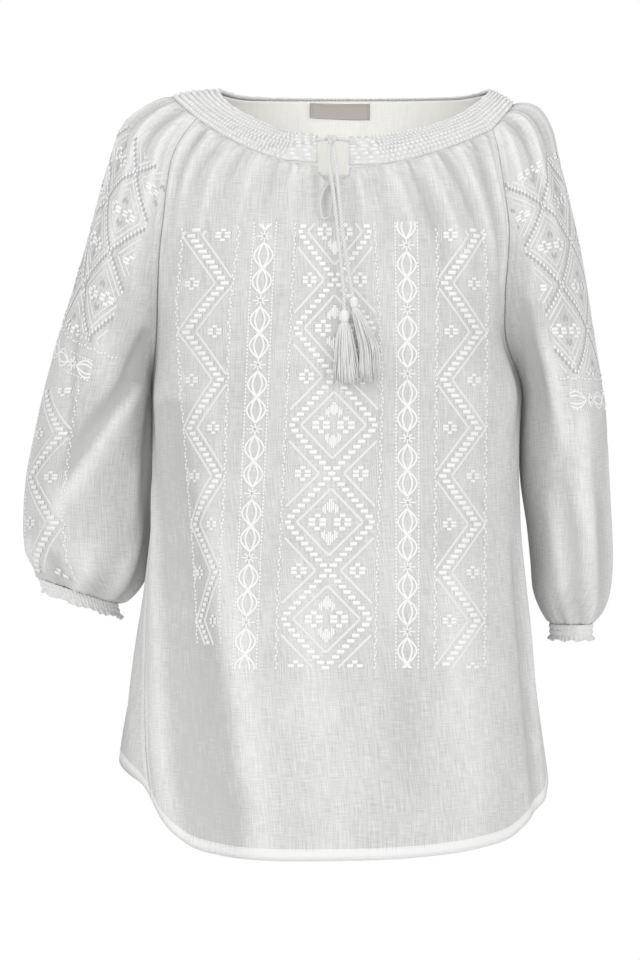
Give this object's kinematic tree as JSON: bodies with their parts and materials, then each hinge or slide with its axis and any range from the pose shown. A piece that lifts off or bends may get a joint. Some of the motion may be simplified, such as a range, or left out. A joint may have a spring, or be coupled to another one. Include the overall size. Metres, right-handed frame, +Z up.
{
  "type": "peasant blouse",
  "caption": "Worn-pose white linen peasant blouse with shirred neckband, keyhole slit with tasselled drawstring, full elasticated three-quarter sleeves and curved hem.",
  "frame": {"origin": "level of the tops of the shoulders, on the middle line of the body and halfway between front and back, where the wearer's shoulders carry the blouse", "axes": "+Z up the body, -Y out of the garment's front, +X towards the sleeve on the right as seen from the front"},
  "size_m": [0.5425, 0.2998, 0.6924],
  "materials": {
    "linen": "fine slubbed plain weave",
    "facing_linen": "plain weave",
    "cotton_cord": "twisted cord",
    "label_satin": "woven satin"
  },
  "bodies": {
    "root": {"neckband": "linen", "front_panel": "linen", "back_panel": "linen", "sleeve_right": "linen", "sleeve_left": "linen", "cuff_right": "linen", "cuff_left": "linen", "back_facing": "facing_linen", "neck_label": "label_satin", "tie_casing_right": "cotton_cord", "tie_casing_left": "cotton_cord", "tie_knot": "cotton_cord", "tie_tail_left": "cotton_cord", "tie_tail_right": "cotton_cord", "slit_loop": "cotton_cord", "tassel_head_left": "cotton_cord", "tassel_head_right": "cotton_cord", "tassel_skirt_left": "cotton_cord", "tassel_skirt_right": "cotton_cord"}
  },
  "joints": []
}
